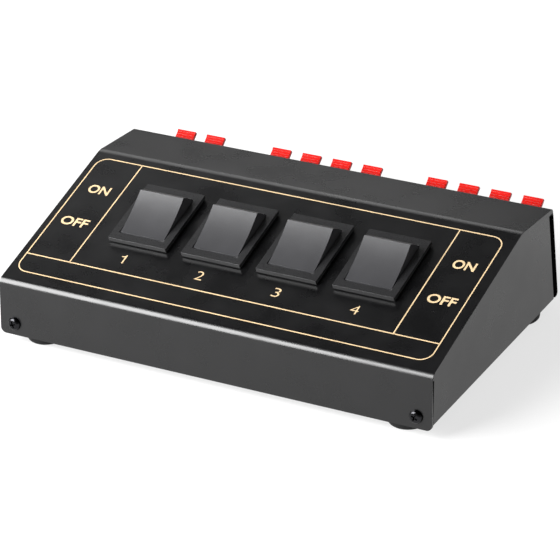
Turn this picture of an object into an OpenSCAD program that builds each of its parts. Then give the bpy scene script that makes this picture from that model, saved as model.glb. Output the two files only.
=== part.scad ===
// Four-way speaker selector: a wedge-shaped desk case of folded steel, with four
// rocker switches on its sloping panel and three spring-clip terminal boards behind.
// Heights and depths are worked out from the lower edge of the front panel, and
// placed() then sets the whole part on its feet, centred on its own footprint.

/* [Case] */
// Width of the case
case_w = 185; // [182:1:205]
// Height of the front bend above the lower edge of the front panel
front_h = 21.8; // [20:0.2:26]
// How far the lower edge of the front panel stands forward of the bend
front_lean = 2.5; // [1:0.1:4]
// Depth of the sloping panel, from the front bend to the top bend
slope_run = 75.5; // [74:0.5:84]
// Rise of the sloping panel over that depth
slope_rise = 21; // [19:0.2:25]
// Depth of the flat strip behind the top bend
strip_run = 26.7; // [25:0.1:34]
// Fall of the flat strip towards the rear
strip_drop = 2.3; // [1:0.1:3]
// Forward lean of the rear panel, in degrees
rear_lean = 4.5; // [2:0.5:6]
// Thickness of the cover and base sheet
sheet_t = 1.0; // [0.8:0.1:1.2]
// Outer radius of the front bend
front_bend_r = 2.8; // [1.4:0.1:3.4]
// Outer radius of the top bend
top_bend_r = 8; // [4:0.5:12]
// Outer radius of the rear bend
rear_bend_r = 3; // [2:0.1:3.4]
// Radius of the two lower corners of the front panel
front_corner_r = 3; // [1:0.1:4]
// Height of the sides' lower edge above the front panel's lower edge
side_lift = 2.1; // [1.6:0.1:2.6]
// Open seam between the front panel and each side
seam_gap = 0.35; // [0.2:0.05:0.6]

/* [Base plate] */
// How far the base plate's underside lies below the sides' lower edge
base_drop = 1.2; // [0.8:0.1:1.5]
// Height of the base plate's side flanges
side_flange_h = 7; // [5:0.5:9]
// Height of the base plate's front flange
front_flange_h = 8.5; // [8:0.5:10]
// Clearance between the base plate's flanges and the cover
flange_gap = 0.3; // [0.2:0.05:0.5]

/* [Rear panel] */
// Depth of the rear panel with its rim
rear_depth = 3.7; // [3.2:0.1:4.5]
// Thickness of the rear panel's wall
rear_wall = 2.0; // [1.6:0.1:2.4]
// Thickness of the rear panel's rim
rear_rim = 1.1; // [0.9:0.1:1.2]
// Radius along the rear panel's outer lower edge
rear_edge_r = 1.6; // [0.6:0.1:1.8]

/* [Feet] */
// Foot diameter at the base plate
foot_d = 16.5; // [14:0.5:18]
// Foot diameter on the table
foot_low_d = 15.5; // [11:0.5:16.5]
// Foot height
foot_h = 4.9; // [4:0.1:7]
// Front feet's centres in from the case's sides
front_foot_inset_x = 14.5; // [12:0.5:18]
// Front feet's centres in from the front panel's lower edge
front_foot_inset_y = 10.2; // [9.8:0.1:14]
// Rear feet's centres in from the case's sides
rear_foot_inset_x = 10.5; // [10.5:0.5:18]
// Rear feet's centres in from the rear panel's lower edge
rear_foot_inset_y = 12.2; // [12:0.1:16]

/* [Screws] */
// Pan head diameter
screw_head_d = 5.4; // [4.6:0.1:5.8]
// Pan head height
screw_head_h = 1.7; // [1.4:0.1:2.2]
// Thread diameter
screw_d = 2.5; // [2:0.1:2.9]
// Thread length of the front and terminal-board screws
screw_len = 6; // [5:0.5:8]
// Thread length of the rear and foot screws
short_screw_len = 5; // [4:0.5:6]
// Clearance hole diameter
screw_hole_d = 3.3; // [3:0.1:3.6]
// Front screws in from the case's sides
front_screw_inset = 6.4; // [5.5:0.1:8]
// Front screws above the front panel's lower edge
front_screw_s = 4.7; // [4.6:0.1:6]

/* [Rocker switches] */
// Centre distance between switches
switch_pitch = 32.5; // [29:0.5:36]
// Middle of the row of switches, off the case's middle
switch_row_x = 0.8; // [-3:0.1:3]
// Switch centres above the front bend, along the slope
switch_v = 46.9; // [42:0.1:52]
// Bezel's rim on either side of the opening
bezel_side = 2.95; // [2.9:0.05:4]
// Bezel's rim above and below the opening
bezel_end = 3.4; // [3.2:0.1:4.4]
// Bezel height above the sloping panel
bezel_h = 2.2; // [1.8:0.1:2.6]
// Step round the top of the bezel
bezel_step = 0.4; // [0.2:0.1:0.6]
// Width of the opening for the rocker
opening_w = 19.9; // [18.5:0.1:20.1]
// Length of the opening for the rocker
opening_l = 25.2; // [24:0.1:26]
// Clearance between the rocker and the ends of the opening
opening_gap = 0.13; // [0.1:0.01:0.2]
// Thickness of the housing's side walls
housing_side = 1.0; // [0.9:0.05:1.3]
// Thickness of the housing's end walls
housing_wall = 0.9; // [0.8:0.05:1]
// Depth of the housing behind the panel
housing_depth = 15; // [14.8:0.1:16]
// Thickness of the housing's floor
housing_floor = 2; // [1.6:0.1:2.4]
// Clearance of the housing in its cut-out
cutout_gap = 0.2; // [0.1:0.05:0.4]
// Tilt of the rocker to either side, in degrees
rocker_tilt = 17.5; // [14:0.5:18]
// Height of the rocker's face above its axis
rocker_face_h = 8.2; // [7.8:0.1:8.4]
// Depth of the rocker's axis below the sloping panel
rocker_axis_depth = 3; // [2.8:0.1:3.2]
// Clearance round the rocker
rocker_gap = 0.3; // [0.2:0.05:0.4]
// Wall thickness of the rocker
rocker_wall = 1.6; // [1.2:0.1:2]
// Radius of the rocker's trunnions
rocker_pin_r = 1.75; // [1.4:0.05:2]
// Off-centre distance of the two poles
pole_x = 4.6; // [4.2:0.1:4.8]
// Radius of the spring plungers
plunger_r = 1.5; // [1.2:0.05:1.6]
// Reach of the plunger's tip below the rocker's axis
plunger_reach = 6.6; // [6.2:0.1:6.7]
// Tilt of the contact arms to either side, in degrees
arm_tilt = 7; // [5:0.5:7]
// Half length of a contact arm
arm_reach = 8.2; // [7.8:0.1:8.6]
// Width of a contact arm
arm_w = 4; // [3:0.1:4.4]
// Thickness of a contact arm
arm_t = 0.6; // [0.4:0.05:0.7]
// Width of the solder blades
blade_w = 4.4; // [3.6:0.1:4.8]
// Thickness of the solder blades
blade_t = 0.8; // [0.6:0.05:0.9]
// Length of the solder blades below the housing
blade_out = 6; // [4:0.5:7]

/* [Terminal boards] */
// Right board's flange in from the case's right side
board_margin = 1.6; // [1.4:0.1:3]
// Input board's flange in from the case's left side
input_margin = 9.25; // [7:0.05:12]
// Gap between the two output boards
output_gap = 7.9; // [7.5:0.1:11]
// Gap between the input board and the output boards
input_gap = 9.9; // [9:0.1:11]
// Height of a board's flange
board_h = 34.6; // [34:0.1:35.2]
// Thickness of a board's flange
board_flange_t = 2; // [1.6:0.1:2.2]
// Width of the fixing ear at each end of a board
board_ear = 4.2; // [4:0.1:4.6]
// Depth of a board behind the rear panel's face
board_depth = 10; // [9.6:0.1:11]
// Thickness of a board's outer walls
board_wall = 1.0; // [0.8:0.1:1.2]
// Height of the board's middle above the rear panel's lower edge
board_mid = 18; // [17.8:0.1:18.2]
// Lever width
lever_w = 8.3; // [7:0.1:8.8]
// Clearance round a lever
lever_gap = 0.3; // [0.2:0.05:0.4]
// Lever travel, in degrees
lever_travel = 18; // [10:1:18]
// Depth of a lever's axis behind the rear panel's face
lever_axis_n = 2.6; // [2.4:0.1:2.8]
// Height of a lever's axis from the board's middle
lever_axis_s = 8.4; // [8.3:0.1:8.5]
// Radius of a lever's trunnions
lever_pin_r = 1.2; // [1:0.05:1.4]
// How far a lever's tab stands out from the rear panel's face
tab_reach = 8.1; // [6:0.1:9]
// Height of a tab's tip from the board's middle
tab_tip_s = 18.5; // [17.5:0.1:19]
// Slope of a tab, in degrees
tab_angle = 33; // [28:1:36]
// Thickness of a tab
tab_t = 1.2; // [1:0.1:1.4]
// Height of the lip along a tab's tip
tab_lip = 0.2; // [0.1:0.05:0.4]
// Diameter of a wire hole
wire_hole_d = 3.2; // [2.6:0.1:3.4]
// Height of a wire hole from the board's middle
wire_hole_s = 3.6; // [3.5:0.1:3.8]
// Radius of a lever's return spring
lever_spring_r = 1.8; // [1.4:0.1:1.9]
// Width of a contact strip
contact_w = 5.2; // [4.6:0.1:5.6]
// Width of a solder tag
tag_w = 2.8; // [2:0.1:3]
// Thickness of the contact strip
contact_t = 0.6; // [0.4:0.05:0.7]
// Length of a solder tag behind the board
tag_out = 5; // [3:0.5:6]

/* [Wiring] */
// Diameter of the insulated wires
wire_d = 1.6; // [1.2:0.1:1.8]
// Diameter of the bare return wire
bare_wire_d = 1.4; // [1:0.1:1.6]
// Height of the switched wires' run along the base
switched_lane = 4.5; // [4:0.1:5]
// Height of the feed wires' run above them
feed_lane = 8; // [7.5:0.1:9]
// Bend radius of the wires
wire_bend = 2.5; // [1.5:0.1:3]

/* [Hidden] */
$fn = 48;
running_gap = 0.06;
lip_over = 0.6;
eps = 0.01;

// Outline of the folded sheet, seen from the side as [depth, height]
rear_top = [slope_run + strip_run, front_h + slope_rise - strip_drop];
slope_deg = atan(slope_rise / slope_run);
slope_len = norm([slope_run, slope_rise]);
front_deg = atan(front_lean / front_h);
rear_out = [cos(rear_lean), sin(rear_lean)];
rear_up = [-sin(rear_lean), cos(rear_lean)];

// The rear panel stands on its lower outer edge, in line with the cover's rear lip
lip_len = rear_bend_r;
panel_len = (rear_top[1] - side_lift) / cos(rear_lean);
panel_h = panel_len - lip_len;
rear_foot = rear_top - rear_up * panel_len;

cover_path = [[-front_lean, 0], [0, front_h], [slope_run, front_h + slope_rise], rear_top,
              rear_top - rear_up * lip_len];
cover_bends = [front_bend_r, top_bend_r, rear_bend_r];

// Base plate
base_z = side_lift - base_drop;
base_x = case_w / 2 - sheet_t - flange_gap;
base_front = -front_lean + base_z * tan(front_deg) + sheet_t + flange_gap;
base_rear = rear_foot[0] - rear_wall - flange_gap;
side_flange_ends = [4 * sheet_t, 8 * sheet_t];
flange_foot = (2 * sheet_t + flange_gap) * tan(front_deg);
foot_places = [for (side = [-1, 1]) each [
  [side * (case_w / 2 - front_foot_inset_x), -front_lean + front_foot_inset_y],
  [side * (case_w / 2 - rear_foot_inset_x), rear_foot[0] - rear_foot_inset_y]
]];
foot_screw_r = 3.4;
foot_recess = 2.2;

// Switches: heights are measured from the sloping panel's outer face
switch_x = [for (i = [0:3]) switch_row_x + (i - 1.5) * switch_pitch];
lip_under = sheet_t - 0.4;
rocker_w = opening_w - 2 * rocker_gap;
rocker_r = norm([opening_l / 2 - opening_gap, rocker_axis_depth - lip_under]);
rocker_skirt = 3;
rocker_pin_len = housing_side + rocker_gap - 0.15;
cavity_l = 2 * (rocker_r + rocker_gap + 0.05);
cavity_floor = -housing_depth + housing_floor;
housing_w = opening_w + 2 * housing_side;
housing_l = cavity_l + 2 * housing_wall;
bezel_w = opening_w + 2 * bezel_side;
bezel_l = opening_l + 2 * bezel_end;
lug_w = 0.36 * housing_w;
boss_r = plunger_r + 1.1;
boss_low = 4.2;
plunger_top = 0.5;
arm_top = -rocker_axis_depth - plunger_reach - 0.35;
arm_bead_r = 0.8;
arm_axis = arm_top - arm_t - 0.35;
arm_rivet_r = 1.2;
arm_rivet_h = 0.5;
arm_rivet_v = arm_reach - arm_rivet_r;
arm_low = arm_axis - arm_reach * sin(arm_tilt) - (arm_rivet_h - 0.35) * cos(arm_tilt);
saddle_r = arm_bead_r + running_gap;
saddle_wall = 0.6;
tongue_t = 0.5;

// Terminal boards: n is measured outwards from the rear panel's face, s up from the middle
output_cols = 4;
input_cols = 2;
cavity_w = lever_w + 2 * lever_gap;
cavity_low = 6.2;
cavity_top = board_h / 2 - board_wall - 0.9;
board_ends = cavity_w + 2 * (board_wall + 0.6) + 2 * board_ear;
board_room = case_w - board_margin - input_margin - input_gap - output_gap;
terminal_pitch = (board_room - 3 * board_ends) / (input_cols + 2 * output_cols - 3);
function flange_w(cols) = (cols - 1) * terminal_pitch + board_ends;
function body_w(cols) = flange_w(cols) - 2 * board_ear;
body_h = 2 * (cavity_top + board_wall);
window_gap = 0.25;
output_b_x = case_w / 2 - board_margin - flange_w(output_cols) / 2;
output_a_x = output_b_x - flange_w(output_cols) - output_gap;
input_x = output_a_x - flange_w(output_cols) / 2 - input_gap - flange_w(input_cols) / 2;
boards = [[input_x, input_cols], [output_a_x, output_cols], [output_b_x, output_cols]];
ear_x = board_ear / 2;
lever_hub_r = 1.9;
lever_face = board_flange_t + 0.2;
lever_back = 0.2;
lever_low = lever_axis_s - 0.4;
finger_t = 1.3;
finger_top = lever_axis_s + 0.6;
finger_end = -board_depth + 1.7;
spring_n = -board_depth + 1.6 + lever_spring_r;
spring_wall = 0.5;
pocket_w = contact_w + 1.2;
pocket_n = 5;
tag_s = wire_hole_s;
ridge_r = 0.3;
ridge_step = 1.1;
ridge_count = 4;

// Rear screws sit in the gaps beside the boards and hold the panel to the base plate
rear_screw_s = 4.4;
rear_screw_x = [
  (-case_w / 2 + input_x - flange_w(input_cols) / 2) / 2 - 0.4,
  input_x + flange_w(input_cols) / 2 + input_gap / 2,
  output_a_x + flange_w(output_cols) / 2 + output_gap / 2
];
rear_tab_w = 7;
rear_tab_h = 8;

// Where the finished part stands: on its feet, centred front to rear
front_tip = -front_lean + front_screw_s * sin(front_deg) - screw_head_h * cos(front_deg);
tab_low = board_mid - tab_tip_s;
rear_tip = rear_foot[0] + (tab_reach + tab_t * sin(tab_angle)) * rear_out[0] - tab_low * sin(rear_lean);
stand_z = foot_h - base_z;

// ---- points and outlines ----

function unit(v) = v / norm(v);
function right_of(v) = [v[1], -v[0]];

// Points of the arc of radius r that rounds the corner b between a and c, flat or in space
function round_corner(a, b, c, r, steps) =
  let (u = unit(a - b), w = unit(c - b), half = acos(u * w) / 2, turn = 180 - 2 * half,
       centre = b + unit(u + w) * r / sin(half), start = b + u * r / tan(half) - centre,
       end = b + w * r / tan(half) - centre)
  [for (i = [0:steps])
    centre + (start * sin(turn * (1 - i / steps)) + end * sin(turn * i / steps)) / sin(turn)];

// The open path moved d to its right-hand side
function shift_path(p, d) = [for (i = [0:len(p) - 1])
  let (before = right_of(unit(p[max(i, 1)] - p[max(i, 1) - 1])),
       after = right_of(unit(p[min(i + 1, len(p) - 1)] - p[min(i + 1, len(p) - 1) - 1])))
  p[i] + d * (before + after) / (1 + before * after)];

// The path with its inner corners rounded
function round_path(p, radii, steps) = concat([p[0]],
  [for (i = [1:len(p) - 2]) each round_corner(p[i - 1], p[i], p[i + 1], radii[i - 1], steps)],
  [p[len(p) - 1]]);

function reversed(p) = [for (i = [len(p) - 1:-1:0]) p[i]];

module rounded_rect(w, l, r) {
  square([w - 2 * r, l], center = true);
  square([w, l - 2 * r], center = true);
  for (x = [-1, 1], y = [-1, 1]) translate([x * (w / 2 - r), y * (l / 2 - r)]) circle(r);
}

// A side-view outline drawn as [depth, height], drawn out along the width
module across(w) rotate([90, 0, 90]) linear_extrude(w, center = true) children();

// ---- places ----

module placed() translate([0, -(front_tip + rear_tip) / 2, stand_z]) children();

// y runs into the case and z up the front panel
module on_front() translate([0, -front_lean, 0]) rotate([-front_deg, 0, 0]) children();

// y runs up the slope and z out of it
module on_slope() translate([0, 0, front_h]) rotate([slope_deg, 0, 0]) children();

// y runs out of the rear panel and z up it, from its lower edge
module on_rear() translate([0, rear_foot[0], rear_foot[1]]) rotate([rear_lean, 0, 0]) children();

module on_board(x) on_rear() translate([x, 0, board_mid]) children();

module at_switch(i) on_slope() translate([switch_x[i], switch_v, 0]) children();

// Every terminal of a board: columns left to right, upper row and mirrored lower row
module each_terminal(cols) {
  for (c = [0:cols - 1], upper = [0, 1]) translate([(c - (cols - 1) / 2) * terminal_pitch, 0, 0])
    mirror([0, 0, upper]) children();
}

// ---- fasteners ----

// Pan-head screw with a cross slot, its head along +z and its thread below
module pan_screw(len) {
  crown_r = (pow(screw_head_d / 2, 2) + pow(screw_head_h, 2)) / (2 * screw_head_h);
  difference() {
    intersection() {
      translate([0, 0, screw_head_h - crown_r]) sphere(crown_r);
      cylinder(h = screw_head_h + 1, d = screw_head_d);
    }
    for (a = [0, 90]) rotate([0, 0, a]) translate([0, 0, screw_head_h]) cube([2.8, 0.6, 1.8], center = true);
  }
  translate([0, 0, -len]) cylinder(h = len + eps, d = screw_d);
}

module front_screws() color("#101012") placed() on_front() {
  for (x = [-1, 1]) translate([x * (case_w / 2 - front_screw_inset), 0, front_screw_s])
    rotate([90, 0, 0]) pan_screw(screw_len);
}

module rear_screws() color("#101012") placed() on_rear() {
  for (x = rear_screw_x) translate([x, 0, rear_screw_s]) rotate([-90, 0, 0]) pan_screw(short_screw_len);
}

module foot_screws() color("#b9bcc0") placed() {
  for (spot = foot_places) translate([spot[0], spot[1], base_z - foot_h + foot_recess])
    mirror([0, 0, 1]) pan_screw(short_screw_len);
}

module terminal_board_screws() color("#101012") placed() {
  for (b = boards, side = [-1, 1]) on_board(b[0])
    translate([side * (body_w(b[1]) / 2 + ear_x), board_flange_t, 0])
      rotate([-90, 0, 0]) pan_screw(screw_len);
}

// ---- case ----

module top_cover() color("#2b2c2e") placed() difference() {
  union() {
    across(case_w) sheet_outline();
    for (x = [-1, 1]) translate([x * (case_w - sheet_t) / 2, 0, 0]) across(sheet_t) side_outline();
  }
  for (x = [-1, 1]) on_front() lower_corner_cut(x);
  for (x = [-1, 1]) on_front() translate([x * (case_w / 2 - front_screw_inset), -1, front_screw_s])
    rotate([-90, 0, 0]) cylinder(h = sheet_t + 2, d = screw_hole_d);
  for (i = [0:3]) at_switch(i)
    cube([housing_w + 2 * cutout_gap, housing_l + 2 * cutout_gap, 4 * sheet_t], center = true);
}

// The folded sheet's own thickness: front, slope, strip and rear lip
module sheet_outline() {
  inner = [for (r = cover_bends) max(r - sheet_t, 0.2)];
  polygon(concat(round_path(cover_path, cover_bends, 12),
                 reversed(round_path(shift_path(cover_path, sheet_t), inner, 12))));
}

// One side: under the sheet, clear of the front panel, ending against the rear panel's rim
module side_outline() {
  behind_front = sheet_t + seam_gap;
  rim = rear_foot - rear_out * rear_depth;
  under = shift_path(cover_path, sheet_t / 2);
  roof = round_path([for (i = [1:4]) under[i]], [top_bend_r - sheet_t / 2, rear_bend_r - sheet_t / 2], 12);
  front_foot = [-front_lean + behind_front / cos(front_deg) + side_lift * tan(front_deg), side_lift];
  front_head = [behind_front / cos(front_deg) + 0.4, front_h + 0.4 * tan(slope_deg) - sheet_t / 2];
  polygon(concat([front_foot, front_head], [for (i = [1:len(roof) - 1]) roof[i]],
                 [rim + rear_up * panel_h, [rim[0] - (side_lift - rim[1]) * tan(rear_lean), side_lift]]));
}

module lower_corner_cut(side) {
  r = front_corner_r;
  translate([side * (case_w / 2 - r), -1, 0]) mirror([side < 0 ? 1 : 0, 0, 0]) difference() {
    translate([0, 0, -1]) cube([r + 1, sheet_t + 1.2, r + 1]);
    translate([0, -1, r]) rotate([-90, 0, 0]) cylinder(h = sheet_t + 4, r = r);
  }
}

module base_plate() color("#2b2c2e") placed() difference() {
  union() {
    translate([-base_x, base_front, base_z]) cube([2 * base_x, base_rear - base_front, sheet_t]);
    for (x = [-base_x, base_x - sheet_t]) translate([x, base_front + side_flange_ends[0], base_z])
      cube([sheet_t, base_rear - base_front - side_flange_ends[0] - side_flange_ends[1], side_flange_h]);
    on_front() translate([-base_x, sheet_t + flange_gap, base_z + flange_foot])
      cube([2 * base_x, sheet_t, front_flange_h - flange_foot]);
    for (x = rear_screw_x) on_rear() translate([x - rear_tab_w / 2, -rear_wall - sheet_t, 0])
      intersection() {
        translate([0, 0, base_z - rear_foot[1]]) cube([rear_tab_w, sheet_t, rear_tab_h]);
        translate([0, -1, base_z - rear_foot[1] + 0.3]) cube([rear_tab_w, sheet_t + 2, rear_tab_h]);
      }
    for (x = rear_screw_x) translate([x - rear_tab_w / 2, base_rear - 2, base_z])
      cube([rear_tab_w, 2, sheet_t]);
  }
  for (x = [-1, 1]) on_front() translate([x * (case_w / 2 - front_screw_inset), 0, front_screw_s])
    rotate([-90, 0, 0]) cylinder(h = 4 * sheet_t + flange_gap, d = screw_d);
  for (x = rear_screw_x) on_rear() translate([x, -rear_wall - 2 * sheet_t, rear_screw_s])
    rotate([-90, 0, 0]) cylinder(h = 2 * sheet_t + 1, d = screw_d);
  for (spot = foot_places) translate([spot[0], spot[1], base_z - 1]) cylinder(h = sheet_t + 2, d = screw_d);
}

module rear_panel() color("#0c0c0d") placed() on_rear() difference() {
  union() {
    across(case_w) rear_outline();
    translate([-case_w / 2 + sheet_t + flange_gap, -rear_depth + 0.7, panel_h - rear_rim])
      cube([case_w - 2 * (sheet_t + flange_gap), rear_depth - 0.7 - sheet_t - 0.3, rear_rim + lip_over]);
  }
  translate([-case_w / 2 + rear_rim, -rear_depth - 1, rear_rim])
    cube([case_w - 2 * rear_rim, rear_depth - rear_wall + 1, panel_h - 2 * rear_rim]);
  for (b = boards) translate([b[0], -1, board_mid])
    cube([body_w(b[1]) + 2 * window_gap, 2 * rear_depth, body_h + 2 * window_gap], center = true);
  for (b = boards, side = [-1, 1])
    translate([b[0] + side * (body_w(b[1]) / 2 + ear_x), -rear_depth, board_mid])
      rotate([-90, 0, 0]) cylinder(h = rear_depth + 1, d = screw_d);
  for (x = rear_screw_x) translate([x, -rear_depth - 1, rear_screw_s])
    rotate([-90, 0, 0]) cylinder(h = rear_depth + 2, d = screw_hole_d);
  for (x = rear_screw_x) translate([x - rear_tab_w / 2 - 0.3, -rear_depth - 1, -1])
    cube([rear_tab_w + 0.6, rear_depth + 1 - rear_wall, rear_rim + 2]);
}

// The panel's edge seen from the side, with its outer lower edge rounded
module rear_outline() {
  r = rear_edge_r;
  translate([-rear_depth, r]) square([rear_depth, panel_h - r]);
  translate([-rear_depth + r, 0]) square([rear_depth - 2 * r, r + eps]);
  for (n = [-rear_depth + r, -r]) translate([n, r]) circle(r);
}

module rubber_feet() color("#17171a") placed() {
  for (spot = foot_places) translate([spot[0], spot[1], base_z - foot_h]) rubber_foot();
}

module rubber_foot() {
  edge_r = 1.0;
  difference() {
    rotate_extrude() difference() {
      union() {
        polygon([[0, 0], [foot_low_d / 2 - edge_r, 0], [foot_low_d / 2, edge_r],
                 [foot_d / 2, foot_h], [0, foot_h]]);
        translate([foot_low_d / 2 - edge_r, edge_r]) circle(edge_r);
      }
      translate([-foot_d, -1]) square([foot_d, foot_h + 2]);
    }
    translate([0, 0, -1]) cylinder(h = foot_recess + 1, r = foot_screw_r);
    translate([0, 0, -1]) cylinder(h = foot_h + 2, d = screw_d);
  }
}

// ---- rocker switches ----

module switch_housing(i) color("#1d1d1f") placed() at_switch(i) difference() {
  union() {
    linear_extrude(bezel_h - bezel_step) rounded_rect(bezel_w, bezel_l, 0.8);
    linear_extrude(bezel_h) rounded_rect(bezel_w - 2 * bezel_step, bezel_l - 2 * bezel_step, 0.6);
    translate([-housing_w / 2, -housing_l / 2, -housing_depth])
      cube([housing_w, housing_l, housing_depth + eps]);
    for (side = [-1, 1]) snap_lug(side);
  }
  translate([-opening_w / 2, -opening_l / 2, -lip_under]) cube([opening_w, opening_l, bezel_h + 2]);
  translate([-opening_w / 2, -cavity_l / 2, cavity_floor]) cube([opening_w, cavity_l, -cavity_floor - 0.6]);
  translate([0, 0, -rocker_axis_depth]) rotate([0, 90, 0])
    cylinder(h = housing_w + 2, r = rocker_pin_r + running_gap, center = true);
  for (x = [-pole_x, pole_x], v = [0, -arm_rivet_v]) translate([x, v, -housing_depth])
    cube([blade_w, blade_t, 3 * housing_floor], center = true);
}

// Sprung wedge that holds the housing behind the sheet
module snap_lug(side) {
  reach = 0.9;
  translate([0, side * housing_l / 2, -sheet_t - 0.1]) mirror([0, side < 0 ? 1 : 0, 0]) rotate([90, 0, 90])
    linear_extrude(lug_w, center = true) polygon([[-eps, 0], [reach, 0], [reach, -0.8], [-eps, -5]]);
}

module at_rocker(i) at_switch(i) translate([0, 0, -rocker_axis_depth]) rotate([rocker_tilt, 0, 0]) children();

// The rocker seen from the side: a disc about its axis, cut flat above and below
module rocker_outline(inset, low) {
  intersection() {
    circle(rocker_r - inset);
    translate([-rocker_r, -low]) square([2 * rocker_r, rocker_face_h - inset + low]);
  }
}

module rocker(i) color("#3a3a3d") placed() at_rocker(i) {
  difference() {
    union() {
      difference() {
        across(rocker_w) rocker_outline(0, rocker_skirt);
        across(rocker_w - 2 * rocker_wall) rocker_outline(rocker_wall, rocker_skirt + 1);
      }
      for (x = [-pole_x, pole_x]) translate([x, 0, -boss_low])
        cylinder(h = boss_low + rocker_face_h - rocker_wall + eps, r = boss_r);
    }
    for (x = [-pole_x, pole_x]) translate([x, 0, -boss_low - 1])
      cylinder(h = boss_low + 1 + rocker_face_h - 2 * rocker_wall, r = plunger_r + running_gap);
  }
  for (side = [-1, 1]) translate([side * (rocker_w / 2 - 0.3), 0, 0]) rotate([0, side * 90, 0])
    cylinder(h = rocker_pin_len + 0.3, r = rocker_pin_r);
}

module plungers(i) color("#cfd0cc") placed() at_rocker(i) {
  for (x = [-pole_x, pole_x]) translate([x, 0, 0]) {
    translate([0, 0, -plunger_reach + plunger_r]) sphere(plunger_r);
    translate([0, 0, -plunger_reach + plunger_r])
      cylinder(h = plunger_reach - plunger_r + plunger_top, r = plunger_r);
  }
}

module rocker_springs(i) color("#b8bcc2") placed() at_rocker(i) {
  top = rocker_face_h - 2 * rocker_wall;
  for (x = [-pole_x, pole_x]) translate([x, 0, plunger_top]) difference() {
    cylinder(h = top - plunger_top, r = plunger_r - 0.1);
    translate([0, 0, -1]) cylinder(h = top - plunger_top + 2, r = plunger_r - 0.5);
  }
}

// Two seesaw arms, side by side, resting on the saddles of the middle blades
module contact_arms(i) color("#c8a060") placed() at_switch(i)
  for (x = [-pole_x, pole_x]) translate([x, 0, arm_axis]) rotate([-arm_tilt, 0, 0]) {
    across(arm_w) union() {
      translate([-arm_reach, arm_top - arm_t - arm_axis]) square([2 * arm_reach, arm_t]);
      circle(arm_bead_r);
    }
    translate([0, -arm_rivet_v, arm_top - arm_t - arm_axis - arm_rivet_h])
      cylinder(h = arm_rivet_h + eps, r = arm_rivet_r);
  }

module switch_blades() color("#c9ccd0") placed() {
  for (i = [0:3], x = [-pole_x, pole_x]) at_switch(i) translate([x, 0, 0]) {
    saddle_blade();
    contact_blade();
  }
}

// Middle blade, its top curled into a trough that carries the arm
module saddle_blade() {
  r = saddle_r + saddle_wall;
  translate([0, 0, arm_axis]) across(blade_w) difference() {
    union() {
      circle(r);
      translate([-blade_t / 2, -housing_depth - blade_out - arm_axis])
        square([blade_t, housing_depth + blade_out + arm_axis]);
    }
    circle(saddle_r);
    translate([-2 * r, -0.2]) square([4 * r, 2 * r]);
  }
}

// End blade, its top bent flat on the housing's floor under the fixed contact
module contact_blade() {
  translate([-blade_w / 2, -arm_rivet_v - blade_t / 2, -housing_depth - blade_out])
    cube([blade_w, blade_t, blade_out + housing_floor + tongue_t]);
  translate([-blade_w / 2, -arm_rivet_v - 1.6, cavity_floor]) cube([blade_w, 3.2, tongue_t]);
  translate([0, -arm_rivet_v, cavity_floor + tongue_t])
    cylinder(h = arm_low - 0.1 - cavity_floor - tongue_t, r = arm_rivet_r);
}

// ---- terminal boards ----

module terminal_board(x, cols) color("#141416") placed() on_board(x) difference() {
  union() {
    rotate([-90, 0, 0]) linear_extrude(board_flange_t) rounded_rect(flange_w(cols), board_h, 1.5);
    translate([-body_w(cols) / 2, -board_depth, -body_h / 2]) cube([body_w(cols), board_depth + eps, body_h]);
    each_terminal(cols) translate([0, board_flange_t, wire_hole_s]) rotate([-90, 0, 0])
      cylinder(h = 0.5, d = wire_hole_d + 2.2);
  }
  each_terminal(cols) terminal_cuts();
  for (side = [-1, 1]) translate([side * (body_w(cols) / 2 + ear_x), -1, 0])
    rotate([-90, 0, 0]) cylinder(h = board_flange_t + 2, d = screw_hole_d);
}

// The space for one lever with its spring, contact and wire
module terminal_cuts() {
  floor_n = -board_depth + board_wall;
  translate([-cavity_w / 2, floor_n, cavity_low])
    cube([cavity_w, board_depth + board_flange_t, cavity_top - cavity_low]);
  translate([-pocket_w / 2, floor_n, wire_hole_s - wire_hole_d / 2])
    cube([pocket_w, -floor_n - pocket_n, cavity_low - wire_hole_s + wire_hole_d / 2 + eps]);
  translate([0, -pocket_n - 1, wire_hole_s]) rotate([-90, 0, 0])
    cylinder(h = pocket_n + board_flange_t + 2, d = wire_hole_d);
  translate([0, board_flange_t - 0.4, wire_hole_s]) rotate([-90, 0, 0])
    cylinder(h = 1, d1 = wire_hole_d, d2 = wire_hole_d + 1.6);
  translate([-tag_w / 2, -board_depth - 1, tag_s - contact_t / 2]) cube([tag_w, board_wall + 2, contact_t]);
  translate([0, -lever_axis_n, lever_axis_s]) rotate([0, 90, 0])
    cylinder(h = cavity_w + 2.2, r = lever_pin_r + running_gap, center = true);
}

// Contact strip, with a leaf under the lever and a solder tag through the back wall
module terminal_contact() {
  back_n = -board_depth + board_wall;
  low = wire_hole_s - wire_hole_d / 2;
  translate([-contact_w / 2, back_n, low]) cube([contact_w, contact_t, cavity_low - low - 0.1]);
  translate([-contact_w / 2 + 0.2, back_n, cavity_low - 1])
    cube([contact_w - 0.4, -back_n - pocket_n - 0.3, contact_t]);
  difference() {
    translate([-tag_w / 2, -board_depth - tag_out, tag_s - contact_t / 2])
      cube([tag_w, tag_out + board_wall + eps, contact_t]);
    translate([0, -board_depth - tag_out + 1.8, tag_s]) cylinder(h = 4, d = 1.3, center = true);
  }
}

module terminal_contacts(x, cols) color("#c8a060") placed() on_board(x)
  each_terminal(cols) terminal_contact();

module lever_springs() color("#b8bcc2") placed() {
  for (b = boards) on_board(b[0]) each_terminal(b[1]) translate([0, spring_n, finger_top]) difference() {
    cylinder(h = cavity_top - finger_top, r = lever_spring_r);
    translate([0, 0, -1]) cylinder(h = cavity_top - finger_top + 2, r = lever_spring_r - spring_wall);
  }
}

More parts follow.
